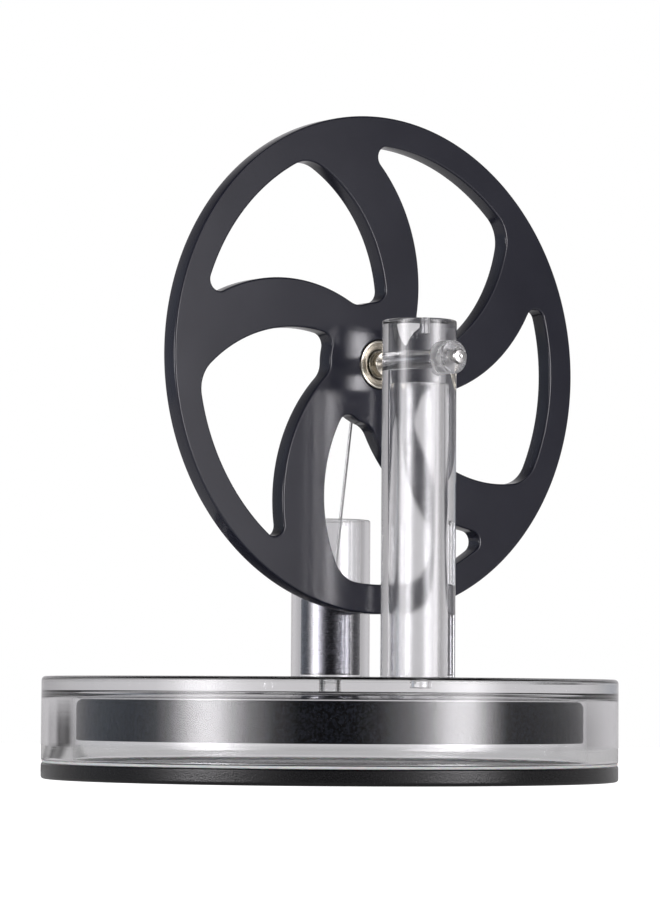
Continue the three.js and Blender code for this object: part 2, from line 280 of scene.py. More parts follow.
# ---- materials -----------------------------------------------------------------------------------
class Surface:
    """A Principled material whose patterns are laid out in millimetres of the piece itself."""

    def __init__(self, name, **fixed):
        self.mat = bpy.data.materials.new(name)
        self.mat.use_nodes = True
        self.tree = self.mat.node_tree
        self.bsdf = self.tree.nodes["Principled BSDF"]
        for key, value in fixed.items():
            self.bsdf.inputs[key.replace("_", " ")].default_value = value
        self.space = self.node("ShaderNodeTexCoord").outputs["Object"]

    def node(self, kind, **props):
        n = self.tree.nodes.new(kind)
        for k, v in props.items():
            setattr(n, k, v)
        return n

    def feed(self, socket, value):
        if isinstance(value, bpy.types.NodeSocket):
            self.tree.links.new(value, socket)
        else:
            socket.default_value = value

    def math(self, op, a, b=0.0, c=0.0):
        n = self.node("ShaderNodeMath", operation=op)
        for socket, value in zip(n.inputs, (a, b, c)):
            self.feed(socket, value)
        return n.outputs[0]

    def scaled(self, stretch=(1, 1, 1), space=None):
        n = self.node("ShaderNodeMapping")
        self.feed(n.inputs["Vector"], space or self.space)
        k = 1 / MM
        n.inputs["Scale"].default_value = [s * k for s in stretch]
        return n.outputs[0]

    def noise(self, scale, detail=2.0, rough=0.5, stretch=(1, 1, 1), space=None):
        n = self.node("ShaderNodeTexNoise")
        self.feed(n.inputs["Vector"], self.scaled(stretch, space))
        n.inputs["Scale"].default_value = scale
        n.inputs["Detail"].default_value = detail
        n.inputs["Roughness"].default_value = rough
        return n.outputs["Fac"]

    def cells(self, scale, feature="F1"):
        n = self.node("ShaderNodeTexVoronoi", feature=feature)
        self.feed(n.inputs["Vector"], self.scaled())
        n.inputs["Scale"].default_value = scale
        return n.outputs["Distance"]

    def ramp(self, value, *stops):
        n = self.node("ShaderNodeValToRGB")
        e = n.color_ramp.elements
        while len(e) < len(stops):
            e.new(0.5)
        for el, (at, v) in zip(e, stops):
            el.position = at
            el.color = (v, v, v, 1) if isinstance(v, (int, float)) else (*v, 1)
        self.feed(n.inputs[0], value)
        return n.outputs[0]

    def span(self, value, low, high, a=0.0, b=1.0):
        n = self.node("ShaderNodeMapRange")
        for key, v in zip(("Value", "From Min", "From Max", "To Min", "To Max"), (value, low, high, a, b)):
            self.feed(n.inputs[key], v)
        return n.outputs[0]

    def mix(self, fac, a, b):
        n = self.node("ShaderNodeMix", data_type="RGBA")
        self.feed(n.inputs[0], fac)
        self.feed(n.inputs[6], (*a, 1) if isinstance(a, tuple) else a)
        self.feed(n.inputs[7], (*b, 1) if isinstance(b, tuple) else b)
        return n.outputs[2]

    def bump(self, height, depth, strength=1.0, under=None):
        n = self.node("ShaderNodeBump")
        n.inputs["Strength"].default_value = strength
        n.inputs["Distance"].default_value = depth * MM
        self.feed(n.inputs["Height"], height)
        if under is not None:
            self.feed(n.inputs["Normal"], under)
        return n.outputs[0]

    def turning(self, about="z", at=(0.0, 0.0)):
        """Space (radius, height, 0) round an axis, in metres, for marks left by a lathe."""
        n = self.node("ShaderNodeSeparateXYZ")
        self.feed(n.inputs[0], self.space)
        x, y, z = n.outputs
        if about == "y":
            y, z = z, y
        u = self.math("SUBTRACT", x, at[0] * MM)
        v = self.math("SUBTRACT", y, at[1] * MM)
        r = self.math("SQRT", self.math("ADD", self.math("MULTIPLY", u, u), self.math("MULTIPLY", v, v)))
        c = self.node("ShaderNodeCombineXYZ")
        self.feed(c.inputs[0], r)
        self.feed(c.inputs[1], z)
        return c.outputs[0]

    def set(self, **sockets):
        for key, value in sockets.items():
            if isinstance(value, tuple):
                value = (*value, 1)
            self.feed(self.bsdf.inputs[key.replace("_", " ")], value)
        return self


def acrylic(name, about="z", at=(0.0, 0.0), haze=0.02, bore=0.0, dull=0.0, grain=(7, 7, 0.35), clear=1.0):
    """Clear cast acrylic. The surface inside the bore radius is rougher by dull, as a drill leaves it.
    The share clear of the light is refracted and the rest is scattered, as by a milky surface."""
    s = Surface(name, Transmission_Weight=clear, IOR=1.49)
    round_axis = s.turning(about, at)
    wear = s.noise(0.35, 4, 0.6)
    lines = s.noise(9.0, 1, 0.4, space=round_axis)
    hair = s.noise(1.4, 3, 0.7, stretch=grain)
    rough = s.math("ADD", s.span(wear, 0.35, 0.75, 0.0, haze), s.span(hair, 0.62, 0.8, 0.0, haze))
    if dull:
        n = s.node("ShaderNodeSeparateXYZ")
        s.feed(n.inputs[0], round_axis)
        inside = s.span(n.outputs[0], (bore + 0.05) * MM, (bore + 0.4) * MM, dull, 0.0)
        rough = s.math("ADD", rough, s.math("MULTIPLY", inside, s.span(wear, 0.3, 0.7, 0.8, 1.15)))
    s.set(Roughness=rough, Base_Color=s.mix(wear, (0.985, 0.985, 0.988), (0.965, 0.968, 0.975)))
    s.set(Normal=s.bump(lines, 0.0006, 0.35))
    # Lamps reach what stands behind the clear walls.
    out = s.tree.nodes["Material Output"]
    path = s.node("ShaderNodeLightPath").outputs["Is Shadow Ray"]
    through = s.node("ShaderNodeBsdfTransparent")
    through.inputs[0].default_value = (0.9, 0.9, 0.91, 1)
    pick = s.node("ShaderNodeMixShader")
    s.feed(pick.inputs[0], path)
    s.feed(pick.inputs[1], s.bsdf.outputs[0])
    s.feed(pick.inputs[2], through.outputs[0])
    s.feed(out.inputs["Surface"], pick.outputs[0])
    return s.mat


def powder_coat():
    s = Surface("powder_coat_black", Specular_IOR_Level=0.42)
    grain = s.cells(4.2, "SMOOTH_F1")
    fine = s.noise(6.5, 3, 0.6)
    broad = s.noise(0.12, 3, 0.5)
    shade = s.mix(s.span(fine, 0.35, 0.75), (0.0010, 0.0010, 0.0015), (0.0055, 0.0053, 0.0072))
    s.set(Base_Color=s.mix(s.span(broad, 0.3, 0.8, 0.0, 0.35), shade, (0.0050, 0.0047, 0.0062)))
    s.set(Roughness=s.span(fine, 0.3, 0.8, 0.17, 0.35))
    s.set(Normal=s.bump(fine, 0.012, 0.7, s.bump(grain, 0.018, 0.8)))
    return s.mat


def anodised(name, about="y", at=(0.0, AXLE_Z)):
    s = Surface(name, Specular_IOR_Level=0.5)
    grain = s.noise(9.0, 2, 0.55)
    cloud = s.noise(0.07, 3, 0.5)
    rings = s.noise(3.2, 2, 0.5, space=s.turning(about, at))
    base = s.mix(s.span(cloud, 0.3, 0.75), (0.0172, 0.0180, 0.0290), (0.0212, 0.0222, 0.0350))
    s.set(Base_Color=s.mix(s.span(grain, 0.45, 0.8, 0.0, 0.35), base, (0.028, 0.028, 0.034)))
    s.set(Roughness=s.span(cloud, 0.3, 0.8, 0.13, 0.17))
    s.set(Normal=s.bump(grain, 0.0022, 0.4, s.bump(rings, 0.0012, 0.3)))
    return s.mat


def foam_board():
    s = Surface("foam_board_dark", Specular_IOR_Level=0.07)
    bead = s.cells(1.15)
    pores = s.noise(2.1, 4, 0.75)
    streak = s.noise(0.9, 3, 0.6)
    base = s.mix(s.span(pores, 0.46, 0.57), (0.0002, 0.0002, 0.0005), (0.0165, 0.0190, 0.0270))
    s.set(Base_Color=s.mix(s.span(streak, 0.5, 0.8, 0.0, 0.35), base, (0.018, 0.021, 0.031)))
    s.set(Roughness=s.span(pores, 0.35, 0.65, 0.46, 0.8))
    s.set(Normal=s.bump(pores, 0.22, 1.0, s.bump(bead, 0.10, 0.6)))
    return s.mat


def foam_tape():
    s = Surface("foam_tape_white", Subsurface_Weight=0.15, Subsurface_Scale=0.0008)
    pores = s.noise(6.0, 3, 0.6)
    dust = s.noise(0.35, 4, 0.6)
    s.set(Base_Color=s.mix(s.span(dust, 0.35, 0.8, 0.0, 0.6), (0.90, 0.90, 0.89), (0.70, 0.70, 0.71)))
    s.set(Roughness=s.span(pores, 0.3, 0.7, 0.55, 0.8), Normal=s.bump(pores, 0.03, 0.7))
    return s.mat


def bright_metal(name, tone, rough, about="y", at=(0.0, AXLE_Z), marks=1.0):
    s = Surface(name, Metallic=1.0)
    rings = s.noise(14.0, 3, 0.6, space=s.turning(about, at))
    smear = s.noise(0.6, 4, 0.6)
    pits = s.noise(18.0, 2, 0.5)
    low = tuple(c * 0.82 for c in tone)
    s.set(Base_Color=s.mix(s.span(smear, 0.3, 0.75), tone, low))
    swing = 0.3 * marks
    lathed = s.span(rings, 0.3, 0.7, rough * (1 - swing), rough * (1 + swing))
    s.set(Roughness=s.math("ADD", lathed, s.span(smear, 0.4, 0.8, 0.0, 0.06)))
    s.set(Normal=s.bump(rings, 0.0012 * marks, 0.5, s.bump(pits, 0.0006, 0.3)))
    return s.mat


CLEAR_BASE = acrylic("acrylic_chamber", haze=0.03, grain=(0.3, 0.3, 6))
CLEAR_TUBE = acrylic("acrylic_tube")
CLEAR_POST = acrylic("acrylic_post", at=(0.0, POST_Y), haze=0.03, bore=POST_BORE[0], dull=0.2, clear=0.985)
CLEAR_BUSH = acrylic("acrylic_bush", "y", (0.0, AXLE_Z), haze=0.06, bore=9.0, dull=0.26, clear=0.92)
POWDER = powder_coat()
WHEEL = anodised("anodised_black")
FOAM = foam_board()
TAPE = foam_tape()
STEEL = bright_metal("polished_steel", (0.72, 0.71, 0.70), 0.27)
SHIELD = bright_metal("bearing_shield_steel", (0.52, 0.47, 0.38), 0.26)
RACE = bright_metal("bearing_race_steel", (0.70, 0.66, 0.57), 0.18)
PISTON = bright_metal("burnished_iron", (0.13, 0.13, 0.15), 0.25, "z", (0.0, 0.0), 0.25)
NICKEL = bright_metal("nickel_plate", (0.62, 0.61, 0.60), 0.2, "z", (0.0, 0.0), 0.6)
WIRE = bright_metal("spring_wire", (0.58, 0.58, 0.58), 0.26)
CAGE = bright_metal("cage_metal", (0.60, 0.56, 0.50), 0.3)


# ---- putting a piece in place --------------------------------------------------------------------
def piece(obj, body, material):
    """obj rides on a body, takes a material and stands for the CAD node of the same name."""
    obj.data.materials.clear()
    obj.data.materials.append(material)
    node = obj.name.replace("_look", "")
    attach(obj, body)
    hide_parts(node)


# ---- base ----------------------------------------------------------------------------------------
def bottom_plate():
    profile = rounded([(0, 0), (BASE_R, 0, 0.5), (BASE_R, PLATE_T, 0.25), (0, PLATE_T)])
    return turned("bottom_plate_look", profile, 320)


def base_gasket():
    r0, r1, z0, z1 = BORE_R + 0.3, BASE_R - 0.1, PLATE_T, PLATE_T + GASKET_T
    bm = lathe(rounded([(r0, z0), (r1, z0, 0.14), (r1, z1, 0.14), (r0, z1)], 3, 0.03), 360)
    for v in bm.verts:
        if math.hypot(v.co.x, v.co.y) > r1 - 0.2:
            k = 1 - 0.0022 * (0.5 + 0.5 * noise.noise(v.co * 0.9))
            v.co.x *= k
            v.co.y *= k
    return finish(bm, "base_gasket_look", 60)


def chamber_body():
    """Cup upside down, with a threaded port in the middle of its lid and a pocket under the post."""
    z0 = PLATE_T + GASKET_T
    crest = PORT_R - THREAD_DEPTH
    thread = []
    for k in range(THREAD_TURNS):
        z = LID_Z - 0.2 - THREAD_PITCH * k
        thread += [(PORT_R, z), (crest, z - THREAD_PITCH * 0.35), (crest, z - THREAD_PITCH * 0.6)]
        thread += [(PORT_R, z - THREAD_PITCH * 0.92)]
    wall = [(PORT_R, CEILING_Z, 0.08), (BORE_R, CEILING_Z, FILLET), (BORE_R, z0, 0.1), (BASE_R, z0, 0.2)]
    lid = [(BASE_R, LID_Z, LID_EDGE), (PORT_R, LID_Z, 0.05)]
    cup = turned("chamber_body_look", rounded(wall + lid + thread, 12), 384)
    r, bottom, over = POCKET_R, LID_Z - POCKET_DEPTH, LID_Z + 1
    drill = rounded([(0, bottom - 0.12), (r - 0.2, bottom), (r, bottom, 0.05), (r, over), (0, over)])
    return carve(cup, turned("seat", drill, 64, at=POCKET_XY))


def displacer_disc():
    """Disc with a rounded upper edge, a pocket for the magnet and the grain of foam on its rim."""
    z0, z1 = DISPLACER_Z
    seat_r, seat_z = MAGNET_R + 0.1, z1 - MAGNET_T - 0.05
    corners = [(0, z0), (DISPLACER_R, z0, 0.35), (DISPLACER_R, z1, DISPLACER_EDGE)]
    corners += [(seat_r, z1), (seat_r, seat_z), (0, seat_z)]
    rim = rounded(corners, 8, 0.2)
    profile = []
    for a, b in zip(rim, rim[1:] + rim[:1]):
        profile.append(a)
        if abs(a[0] - DISPLACER_R) < 1e-6 and abs(b[0] - DISPLACER_R) < 1e-6:
            steps = int(abs(b[1] - a[1]) / 0.3)
            profile += [(a[0], a[1] + (b[1] - a[1]) * k / steps) for k in range(1, steps)]
    bm = lathe(profile, 900)
    for v in bm.verts:
        r = math.hypot(v.co.x, v.co.y)
        if r > DISPLACER_R - 1.4:
            p = v.co
            grain = noise.noise(p * 1.6) * 0.5 + noise.noise(p * 3.9) * 0.35
            k = 1 - (0.09 + 0.12 * grain) / r
            v.co.x *= k
            v.co.y *= k
    return finish(bm, "displacer_disc_look", 60)


def displacer_magnet():
    z1 = DISPLACER_Z[1]
    return turned(
        "displacer_magnet_look",
        rounded([(0, z1 - MAGNET_T), (MAGNET_R, z1 - MAGNET_T, 0.2), (MAGNET_R, z1, 0.2), (0, z1)], 5, 0.05),
        96,
    )


# ---- cylinder, piston, rod -----------------------------------------------------------------------
def power_cylinder():
    r0, r1 = CYLINDER_R
    corners = [(r0, LID_Z, 0.06), (r1, LID_Z, 0.06), (r1, CYLINDER_TOP, 0.32), (r0, CYLINDER_TOP, 0.3)]
    return turned("power_cylinder_look", rounded(corners, 6, 0.05), 224)


def piston():
    r0, r1 = PISTON_R
    z0, z1 = PISTON_Z
    crown = z0 + CROWN_T
    corners = [(0, z0), (r1, z0, 0.2), (r1, z1, 0.2), (r0, z1, 0.12), (r0, crown, 0.4), (0, crown)]
    cup = turned("piston_look", rounded(corners, 6, 0.06), 192)
    hole = [(0, 0), (TAPPED_R, 0), (TAPPED_R, 8), (0, 8)]
    return carve(cup, on_axle("wrist_hole", hole, 32, z=WRIST_Z))


def wrist_pin():
    y0, y1 = WIRE_R + 0.3, PISTON_R[1] - 0.25
    profile = rounded([(0, y0), (PIN_R, y0, 0.12), (PIN_R, y1, 0.12), (0, y1)], 4, 0.03)
    return on_axle("wrist_pin_look", profile, 48, z=WRIST_Z)


def eye(y, z, start, end, steps=26):
    return [
        (EYE_R * math.cos(w), y, z + EYE_R * math.sin(w))
        for w in (math.radians(start + (end - start) * k / steps) for k in range(steps + 1))
    ]


def connecting_rod():
    """Spring wire with a closed loop at each end, leaning from the crank plane to the cylinder."""
    top = AXLE_Z - CRANK_THROW
    z0, z1 = WRIST_Z + EYE_R, top - EYE_R
    at = lambda z: ROD_Y * (z - z0) / (z1 - z0)
    low = eye(0.0, WRIST_Z, -255, 60)
    high = eye(ROD_Y, top, -120, 195)
    neck0 = [(0.14, at(z0 + 0.75), z0 + 0.75), (0.0, at(z0 + 2.0), z0 + 2.0)]
    neck1 = [(0.0, at(z1 - 2.0), z1 - 2.0), (-0.14, at(z1 - 0.75), z1 - 0.75)]
    run = [(0.0, at(z0 + (z1 - z0) * k / 8), z0 + (z1 - z0) * k / 8) for k in range(1, 8)]
    path = smooth_path(low[::2] + neck0 + run + neck1 + high[::2], 6)
    return sweep("connecting_rod_look", path, WIRE_R, 14)


# ---- flywheel ------------------------------------------------------------------------------------
def polar(r, deg):
    return Vector((r * math.cos(math.radians(deg)), r * math.sin(math.radians(deg))))


def meet(c1, d1, c2, d2, hint):
    """Of the two points at d1 from c1 and d2 from c2, the one nearer to the hint."""
    axis = c2 - c1
    d = axis.length
    along = (d1 * d1 - d2 * d2 + d * d) / (2 * d)
    off = math.sqrt(d1 * d1 - along * along)
    u = axis.normalized()
    v = Vector((-u.y, u.x))
    a, b = c1 + u * along + v * off, c1 + u * along - v * off
    return a if (a - hint).length < (b - hint).length else b


# Radii of the rim's inside and the hub, centres and radii of a window's two sides, its four fillets.
RIM_R, HUB_R = 35.9, 10.25
LEAD_C, LEAD_R = polar(26.0, 159.25), 25.4
TRAIL_C, TRAIL_R = polar(24.23, 219.19), 28.28
F_RIM_LEAD, F_RIM_TRAIL, F_HUB_TRAIL, F_HUB_LEAD = 5.6, 1.8, 3.5, 2.0


def window_outline():
    """Points and outward normals of one window, clockwise arcs joined by fillets."""
    o = Vector((0, 0))
    f1 = meet(o, RIM_R - F_RIM_LEAD, LEAD_C, LEAD_R - F_RIM_LEAD, polar(30.3, 119))
    f2 = meet(o, RIM_R - F_RIM_TRAIL, TRAIL_C, TRAIL_R + F_RIM_TRAIL, polar(34, 159))
    f3 = meet(o, HUB_R + F_HUB_TRAIL, TRAIL_C, TRAIL_R + F_HUB_TRAIL, polar(13.8, 109))
    f4 = meet(o, HUB_R + F_HUB_LEAD, LEAD_C, LEAD_R - F_HUB_LEAD, polar(12.3, 95))
    away = lambda c, f: f * 2 - c
    spans = [
        (o, RIM_R, f1, f2, 1, -1, 26),
        (f2, F_RIM_TRAIL, away(o, f2), TRAIL_C, 1, -1, 14),
        (TRAIL_C, TRAIL_R, f2, f3, -1, 1, 28),
        (f3, F_HUB_TRAIL, TRAIL_C, o, 1, -1, 14),
        (o, HUB_R, f3, f4, -1, 1, 5),
        (f4, F_HUB_LEAD, o, away(LEAD_C, f4), 1, -1, 14),
        (LEAD_C, LEAD_R, f4, f1, 1, -1, 26),
        (f1, F_RIM_LEAD, away(LEAD_C, f1), away(o, f1), 1, -1, 18),
    ]
    out = []
    for c, r, p, q, turn, facing, n in spans:
        a0 = math.atan2(p.y - c.y, p.x - c.x)
        a1 = math.atan2(q.y - c.y, q.x - c.x)
        if turn > 0 and a1 < a0:
            a1 += 2 * math.pi
        if turn < 0 and a1 > a0:
            a1 -= 2 * math.pi
        for k in range(n):
            a = a0 + (a1 - a0) * k / n
            d = Vector((math.cos(a), math.sin(a)))
            out.append((c + d * r, d * facing))
    return out


def flywheel():
    loops = []
    for r, n, facing in ((WHEEL_R, 360, 1), (BEARING_R + 0.08, 96, -1)):
        loops.append([(polar(r, 360 * k / n), polar(1, 360 * k / n) * facing) for k in range(n)])
    outline = window_outline()
    for k in range(WINDOWS):
        spin = Matrix.Rotation(math.radians(360 / WINDOWS * k), 2)
        loops.append([(spin @ p, spin @ d) for p, d in outline])
    bm = bmesh.new()
    steps = 5
    caps = {0: [], 1: []}
    for loop in loops:
        rings = []
        for side in (0, 1):
            for k in range(steps + 1):
                w = math.radians(90 * (k if side == 0 else steps - k) / steps)
                inset = WHEEL_EDGE * (1 - math.sin(w))
                depth = WHEEL_EDGE * (1 - math.cos(w))
                y = WHEEL_FRONT + depth if side == 0 else WHEEL_BACK - depth
                spots = ((p.x - d.x * inset, y, AXLE_Z + p.y - d.y * inset) for p, d in loop)
                rings.append([bm.verts.new(q) for q in spots])
        n = len(loop)
        for a, b in zip(rings, rings[1:]):
            for k in range(n):
                bm.faces.new((a[k], a[(k + 1) % n], b[(k + 1) % n], b[k]))
        for side, ring in ((0, rings[0]), (1, rings[-1])):
            caps[side] += [bm.edges.get((ring[k], ring[(k + 1) % n])) for k in range(n)]
    flat = set()
    for side in (0, 1):
        made = bmesh.ops.triangle_fill(
            bm, use_beauty=True, use_dissolve=False, edges=caps[side], normal=(0, -1, 0)
        )
        flat |= {f for f in made["geom"] if isinstance(f, bmesh.types.BMFace)}
    return finish(bm, "flywheel_look", flats=lambda f: f in flat)


def crank_disc():
    y0, y1 = WHEEL_BACK, CRANK_REAR
    clip_r, clip_y = 4.4, y0 + 0.8
    corners = [(0, clip_y), (clip_r, clip_y), (clip_r, y0), (CRANK_R, y0, 0.2), (CRANK_R, y1, 0.4), (0, y1)]
    disc = on_axle("crank_disc_look", rounded(corners, 6, 0.08), 160)
    hole = [(0, y0), (TAPPED_R, y0), (TAPPED_R, y1 + 1), (0, y1 + 1)]
    return carve(disc, on_axle("tapped", hole, 32, z=AXLE_Z - CRANK_THROW))


def crank_pin():
    free = 0.2
    seat, head = ROD_Y - WIRE_R - free, ROD_Y + WIRE_R + free
    corners = [
        (0, WHEEL_BACK + 0.95), (PIN_R, WHEEL_BACK + 0.95), (PIN_R, CRANK_REAR),
        (1.3, CRANK_REAR, 0.08), (1.3, seat, 0.12), (0.75, seat, 0.06), (0.75, head, 0.06),
        (1.4, head, 0.08), (1.4, head + 0.7, 0.25), (0.75, head + 0.7, 0.05),
        (0.65, head + 0.45), (0, head + 0.45),
    ]
    return on_axle("crank_pin_look", rounded(corners, 4, 0.03), 64, z=AXLE_Z - CRANK_THROW)


# ---- bearing -------------------------------------------------------------------------------------
def race(side, n=10):
    """Groove of the outer (side 1) or inner (side -1) ring, as arc points round the balls' path."""
    lo, hi = (-40, 40) if side > 0 else (220, 140)
    pts = [polar(RACE_R, lo + (hi - lo) * k / n) for k in range(n + 1)]
    return [(PITCH_R + p.x, BEARING_MID + p.y) for p in pts]


SHOULDER = RACE_R * math.cos(math.radians(40))


def bearing_outer_ring():
    y0, y1 = BEARING_MID - BEARING_T / 2, BEARING_MID + BEARING_T / 2
    s = PITCH_R + SHOULDER
    r = 3.55
    corners = [
        (r, y0, 0.05), (BEARING_R, y0, 0.2), (BEARING_R, y1, 0.2), (r, y1, 0.05),
        (r, y1 - 0.35), (s, y1 - 0.35), *race(1)[::-1], (s, y0 + 0.35), (r, y0 + 0.35),
    ]
    return on_axle("bearing_outer_ring_look", rounded(corners, 5, 0.03), 128)


def bearing_inner_ring():
    y0, y1 = BEARING_MID - BEARING_T / 2, BEARING_MID + BEARING_T / 2
    s = PITCH_R - SHOULDER
    corners = [(1.5, y0, 0.12), (s, y0, 0.06), *race(-1), (s, y1, 0.06), (1.5, y1, 0.12)]
    return on_axle("bearing_inner_ring_look", rounded(corners, 5, 0.03), 96)


def bearing_shield(front):
    """Pressed shield: a dished washer with a rolled lip at its inner edge."""
    out = -1 if front else 1
    face = BEARING_MID - BEARING_T / 2 + 0.15 if front else BEARING_MID + BEARING_T / 2 - 0.15
    back = face - out * 0.18
    lift = lambda k: face - out * k
    corners = [
        (2.5, back), (2.5, lift(0.02), 0.05), (2.68, lift(0.0), 0.04), (2.82, lift(0.06), 0.05),
        (3.28, lift(0.06), 0.04), (3.36, lift(0.0), 0.04), (3.5, lift(0.0), 0.05), (3.5, back),
    ]
    name = "bearing_shield_front_look" if front else "bearing_shield_rear_look"
    return on_axle(name, rounded(corners, 4, 0.02), 128)


def ball(k):
    bm = bmesh.new()
    bmesh.ops.create_icosphere(bm, subdivisions=4, radius=BALL_R)
    p = polar(PITCH_R, 360 * k / BALLS)
    bmesh.ops.translate(bm, verts=bm.verts, vec=(p.x, BEARING_MID, AXLE_Z + p.y))
    return finish(bm, f"bearing_ball_{k + 1}_look", 60)


def bearing_cage():
    """Crown ribbon behind the balls, with a pocket scooped out for each."""
    r0, r1 = PITCH_R - 0.22, PITCH_R + 0.22
    y0, y1 = BEARING_MID - 0.1, BEARING_MID + 0.85
    corners = [(r0, y0, 0.05), (r1, y0, 0.05), (r1, y1, 0.05), (r0, y1, 0.05)]
    ring = on_axle("bearing_cage_look", rounded(corners, 3, 0.03), 112)
    scoops = []
    for k in range(BALLS):
        bm = bmesh.new()
        bmesh.ops.create_icosphere(bm, subdivisions=3, radius=BALL_R + 0.06)
        p = polar(PITCH_R, 360 * k / BALLS)
        bmesh.ops.translate(bm, verts=bm.verts, vec=(p.x, BEARING_MID, AXLE_Z + p.y))
        scoops.append(finish(bm, f"scoop_{k}", 60))
    return carve(ring, *scoops)


# ---- axle and post -------------------------------------------------------------------------------
def axle():
    t, y1 = AXLE_TIP, WHEEL_BACK + 0.45
    corners = [
        (0, t + 0.1), (0.35, t + 0.02, 0.3), (1.1, t + 0.1, 0.2), (1.25, t + 0.4, 0.15),
        (1.25, t + 0.75, 0.12), (AXLE_R, BUSH_FRONT - 0.05, 0.3), (AXLE_R, y1, 0.15), (0, y1),
    ]
    return on_axle("axle_look", rounded(corners, 5, 0.04), 96)


def axle_bush():
    seat, y1 = POST_Y - POST_R - 0.15, POST_Y + POST_R - 0.1
    corners = [
        (BUSHED_R, BUSH_FRONT, 0.12), (BUSH_R, BUSH_FRONT, 0.3), (BUSH_R, seat, 0.12),
        (CROSS_R - 0.06, seat), (CROSS_R - 0.06, y1, 0.1), (BUSHED_R, y1, 0.06),
    ]
    return on_axle("axle_bush_look", rounded(corners, 6, 0.05), 128)


def axle_spacer():
    y = WHEEL_FRONT
    corners = [
        (BUSHED_R, y - 1.55, 0.08), (2.1, y - 1.55, 0.14), (2.1, y - 0.35, 0.14), (1.9, y - 0.35),
        (1.9, y + 0.04), (1.46, y + 0.04), (1.46, WHEEL_BACK - 0.1), (BUSHED_R, WHEEL_BACK - 0.1),
    ]
    return on_axle("axle_spacer_look", rounded(corners, 5, 0.04), 96)


def axle_clip():
    """Retaining ring with the open gap of the real spring clip."""
    y0, y1 = WHEEL_BACK - 0.04, WHEEL_BACK + 0.31
    r0, r1 = AXLE_R + 0.05, 1.75
    corners = [(r0, y0, 0.04), (r1, y0, 0.06), (r1, y1, 0.06), (r0, y1, 0.04)]
    ring = on_axle("axle_clip_look", rounded(corners, 4, 0.02), 96)
    bm = bmesh.new()
    bmesh.ops.create_cube(bm, size=1.0)
    bmesh.ops.scale(bm, vec=(0.55, 1.2, 1.6), verts=bm.verts)
    bmesh.ops.translate(bm, verts=bm.verts, vec=(0, (y0 + y1) / 2, AXLE_Z + 1.5))
    return carve(ring, finish(bm, "gap"))


def support_post():
    """Rod with a wide bore from below, a cross bore for the bush and a dimple in the top. The plain
    points on its side keep the facets short round the cross bore."""
    r, top = POST_R, POST_TOP
    b, bz = POST_BORE
    corners = [(b, LID_Z, 0.06), (r, LID_Z, 0.1), (r, 62.0), (r, 65.0), (r, 70.6)]
    corners += [(r, top, 0.28), (0, top), (0, bz), (b, bz, 0.15)]
    rod = turned("support_post_look", rounded(corners, 6, 0.08), 224, at=(0, POST_Y))
    y0, y1 = POST_Y - r - 1, POST_Y + r + 1
    cross = on_axle("cross", [(0, y0), (CROSS_R, y0), (CROSS_R, y1), (0, y1)], 64)
    mark = [(0, top - 2.5), (0.6, top - 2.3), (0.6, top + 1), (0, top + 1)]
    return carve(rod, cross, turned("dimple", mark, 32, at=(0, POST_Y - 1)))


# ---- assembly ------------------------------------------------------------------------------------
piece(bottom_plate(), "frame", POWDER)
piece(base_gasket(), "frame", TAPE)
piece(chamber_body(), "frame", CLEAR_BASE)
piece(power_cylinder(), "frame", CLEAR_TUBE)
piece(support_post(), "frame", CLEAR_POST)
piece(axle_bush(), "frame", CLEAR_BUSH)
piece(axle(), "frame", STEEL)
piece(axle_spacer(), "frame", RACE)
piece(axle_clip(), "frame", WIRE)
piece(bearing_inner_ring(), "frame", RACE)
piece(flywheel(), "wheel", WHEEL)
piece(bearing_outer_ring(), "wheel", RACE)
piece(bearing_shield(True), "wheel", SHIELD)
piece(bearing_shield(False), "wheel", SHIELD)
piece(crank_disc(), "wheel", WHEEL)
piece(crank_pin(), "wheel", STEEL)
piece(bearing_cage(), "ball_set", CAGE)
for number in range(BALLS):
    piece(ball(number), "ball_set", STEEL)
piece(connecting_rod(), "rod", WIRE)
piece(piston(), "piston", PISTON)
piece(wrist_pin(), "piston", STEEL)
piece(displacer_disc(), "displacer", FOAM)
piece(displacer_magnet(), "displacer", NICKEL)


# ---- floor, studio and camera --------------------------------------------------------------------
TO_CAMERA = Vector((-0.5966, -0.8025, 0.0))
RIGHT = Vector((0.8025, -0.5966, 0.0))
CAMERA_BACK, CAMERA_ASIDE, CAMERA_UP = 632.9, -0.264, 13.89
CAMERA_PITCH, CAMERA_ROLL = 0.0640, 0.0067
FLOOR_R = 420


def share_of_turn(deg):
    """Place of an angle on a ramp that covers a full turn."""
    return deg / 360 + 0.5


